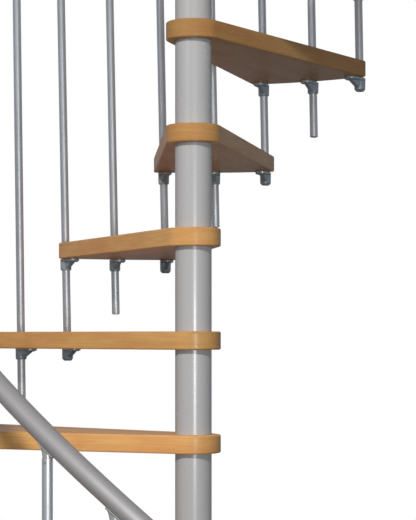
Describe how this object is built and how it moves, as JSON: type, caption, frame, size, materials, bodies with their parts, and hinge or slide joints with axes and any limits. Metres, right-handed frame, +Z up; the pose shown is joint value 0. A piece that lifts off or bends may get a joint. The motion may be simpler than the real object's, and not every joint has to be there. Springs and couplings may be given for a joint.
{
  "type": "spiral staircase",
  "caption": "Spiral stair with beech treads on a sleeved steel column, round balusters past the curved tread edges and a tubular handrail up to a landing.",
  "frame": {"origin": "centre of the floor flange's underside, on the column's axis", "axes": "+Z up along the column; the flight turns clockwise seen from above, from its first baluster near -Y"},
  "size_m": [1.4198, 1.4318, 3.4843],
  "materials": {
    "column": "satin powder coat",
    "beech": "clear gloss varnish",
    "steel": "satin paint",
    "baluster": "satin powder coat",
    "bracket": "satin paint on cast metal",
    "saddle": "satin",
    "rail": "satin",
    "rail_cap": "satin"
  },
  "bodies": {
    "root": {"base_flange": "column", "newel_sleeve": "column", "column_cap": "column", "column_sleeve_01": "column", "column_sleeve_02": "column", "column_sleeve_03": "column", "column_sleeve_04": "column", "column_sleeve_05": "column", "column_sleeve_06": "column", "column_sleeve_07": "column", "column_sleeve_08": "column", "column_sleeve_09": "column", "column_sleeve_10": "column", "column_sleeve_11": "column", "landing": "beech", "tread_01": "beech", "tread_02": "beech", "tread_03": "beech", "tread_04": "beech", "tread_05": "beech", "tread_06": "beech", "tread_07": "beech", "tread_08": "beech", "tread_09": "beech", "tread_10": "beech", "centre_pole": "steel", "landing_cleat": "steel", "long_balusters": "baluster", "middle_balusters": "baluster", "landing_balusters": "baluster", "lead_brackets": "bracket", "middle_brackets": "bracket", "cup_brackets": "bracket", "landing_brackets": "bracket", "floor_socket": "bracket", "rail_saddles": "saddle", "handrail": "rail", "rail_end_caps": "rail_cap"}
  },
  "joints": []
}
